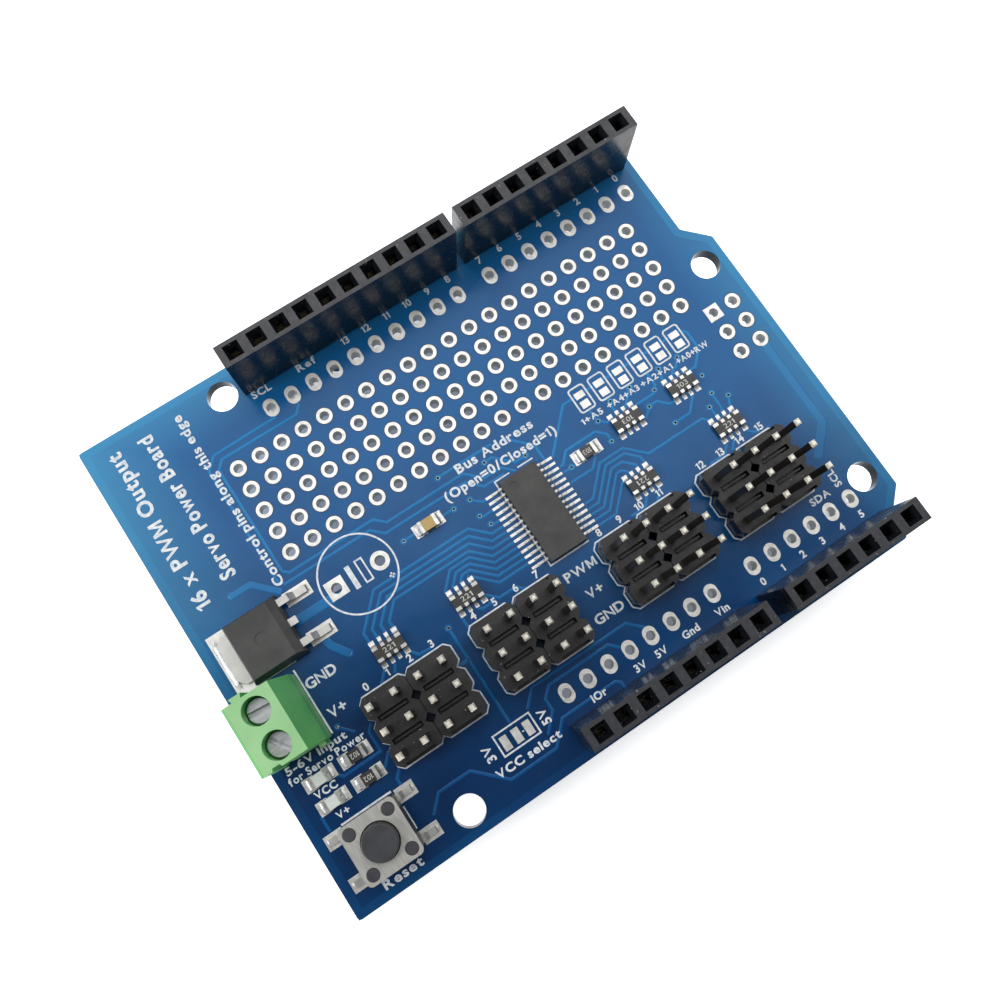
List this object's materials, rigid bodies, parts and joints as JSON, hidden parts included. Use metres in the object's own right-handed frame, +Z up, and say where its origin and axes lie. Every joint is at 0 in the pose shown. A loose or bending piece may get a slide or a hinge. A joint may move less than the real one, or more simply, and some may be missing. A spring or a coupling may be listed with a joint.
{
  "type": "servo driver board",
  "caption": "Blue stacking circuit board that drives servos, with socket rows, three-pin output blocks, a green screw terminal and a reset button.",
  "frame": {"origin": "under the middle of the board, on the plane of the long header pins' tips", "axes": "+X along the board's long side towards the notched end, +Y across the board towards the digital socket rows, +Z up out of the component side"},
  "size_m": [0.0686, 0.0534, 0.0191],
  "materials": {
    "board": "blue solder mask over glass-fibre laminate, semi-gloss",
    "plating": "tinned copper, satin",
    "via_copper": "plated copper under mask",
    "solder": "solder, bright",
    "header_plastic": "black moulded plastic, semi-gloss sides",
    "contact_metal": "tinned phosphor bronze",
    "pin_metal": "tinned pins, satin",
    "package_black": "moulded epoxy, matt",
    "lead_metal": "tinned leads",
    "terminal_green": "light green moulded plastic, satin",
    "screw_steel": "zinc-plated steel",
    "switch_black": "dark grey moulded plastic",
    "switch_steel": "tinned steel, satin",
    "resistor_black": "dark overglaze on white ceramic",
    "end_cap_metal": "tinned end terminations",
    "capacitor_tan": "tan ceramic",
    "light_carrier": "white laminate carrier",
    "light_lens": "clear moulded resin",
    "light_die": "light-emitting die"
  },
  "bodies": {
    "board": {"circuit_board": "board", "header_pads": "plating", "side_pads": "plating", "prototyping_pads": "plating", "icsp_pads": "plating", "servo_header_pads": "plating", "capacitor_pads": "plating", "terminal_pads": "plating", "surface_pads": "plating", "jumper_pads": "plating", "via_barrels": "via_copper", "header_solder": "solder", "servo_header_solder": "solder", "terminal_solder": "solder", "digital_header_high": "header_plastic", "digital_header_low": "header_plastic", "power_header": "header_plastic", "analog_header": "header_plastic", "digital_header_high_contacts": "contact_metal", "digital_header_low_contacts": "contact_metal", "power_header_contacts": "contact_metal", "analog_header_contacts": "contact_metal", "servo_header_1": "header_plastic", "servo_header_2": "header_plastic", "servo_header_3": "header_plastic", "servo_header_4": "header_plastic", "servo_header_5": "header_plastic", "servo_header_6": "header_plastic", "servo_header_7": "header_plastic", "servo_header_8": "header_plastic", "servo_pins_0_to_3": "pin_metal", "servo_pins_4_to_7": "pin_metal", "servo_pins_8_to_11": "pin_metal", "servo_pins_12_to_15": "pin_metal", "driver_chip": "package_black", "power_transistor": "package_black", "driver_chip_leads": "lead_metal", "power_transistor_leads": "lead_metal", "power_transistor_tab": "lead_metal", "terminal_housing": "terminal_green", "terminal_contacts": "contact_metal", "reset_switch_base": "switch_black", "reset_switch_cover": "switch_steel", "reset_switch_dome": "switch_steel", "reset_switch_terminals": "lead_metal", "chip_resistors": "resistor_black", "resistor_networks": "resistor_black", "chip_resistor_end_caps": "end_cap_metal", "bypass_capacitor_end_caps": "end_cap_metal", "resistor_network_terminals": "end_cap_metal", "status_light_ends": "end_cap_metal", "bypass_capacitor": "capacitor_tan", "status_lights": "light_carrier", "status_light_lenses": "light_lens", "status_light_dies": "light_die"},
    "reset_button": {"reset_button": "switch_black"},
    "terminal_screw_1": {"terminal_screw_1": "screw_steel"},
    "terminal_screw_2": {"terminal_screw_2": "screw_steel"},
    "wire_cage_1": {"terminal_wire_cage_1": "screw_steel"},
    "wire_cage_2": {"terminal_wire_cage_2": "screw_steel"}
  },
  "joints": [
    {"name": "reset_press", "type": "slide", "parent": "board", "child": "reset_button", "axis": [0, 0, -1], "range_m": [0, 0.00025], "stiffness_N_per_m": 6000, "springref_m": -0.00003, "deforming": ["reset_switch_dome"]},
    {"name": "terminal_screw_1_turn", "type": "hinge", "parent": "board", "child": "terminal_screw_1", "pos_m": [-0.03079, -0.00572, 0.0165], "axis": [0, 0, 1], "range_deg": [-1476, 0]},
    {"name": "wire_cage_1_lift", "type": "slide", "parent": "board", "child": "wire_cage_1", "axis": [0, 0, 1], "range_m": [0, 0.00143]},
    {"name": "terminal_screw_2_turn", "type": "hinge", "parent": "board", "child": "terminal_screw_2", "pos_m": [-0.03079, -0.00922, 0.0165], "axis": [0, 0, 1], "range_deg": [-1476, 0]},
    {"name": "wire_cage_2_lift", "type": "slide", "parent": "board", "child": "wire_cage_2", "axis": [0, 0, 1], "range_m": [0, 0.00143]}
  ],
  "couplings": [
    {"joint": "terminal_screw_1_turn", "follows": "wire_cage_1_lift", "rad_per_m": -17952},
    {"joint": "terminal_screw_2_turn", "follows": "wire_cage_2_lift", "rad_per_m": -17952}
  ]
}
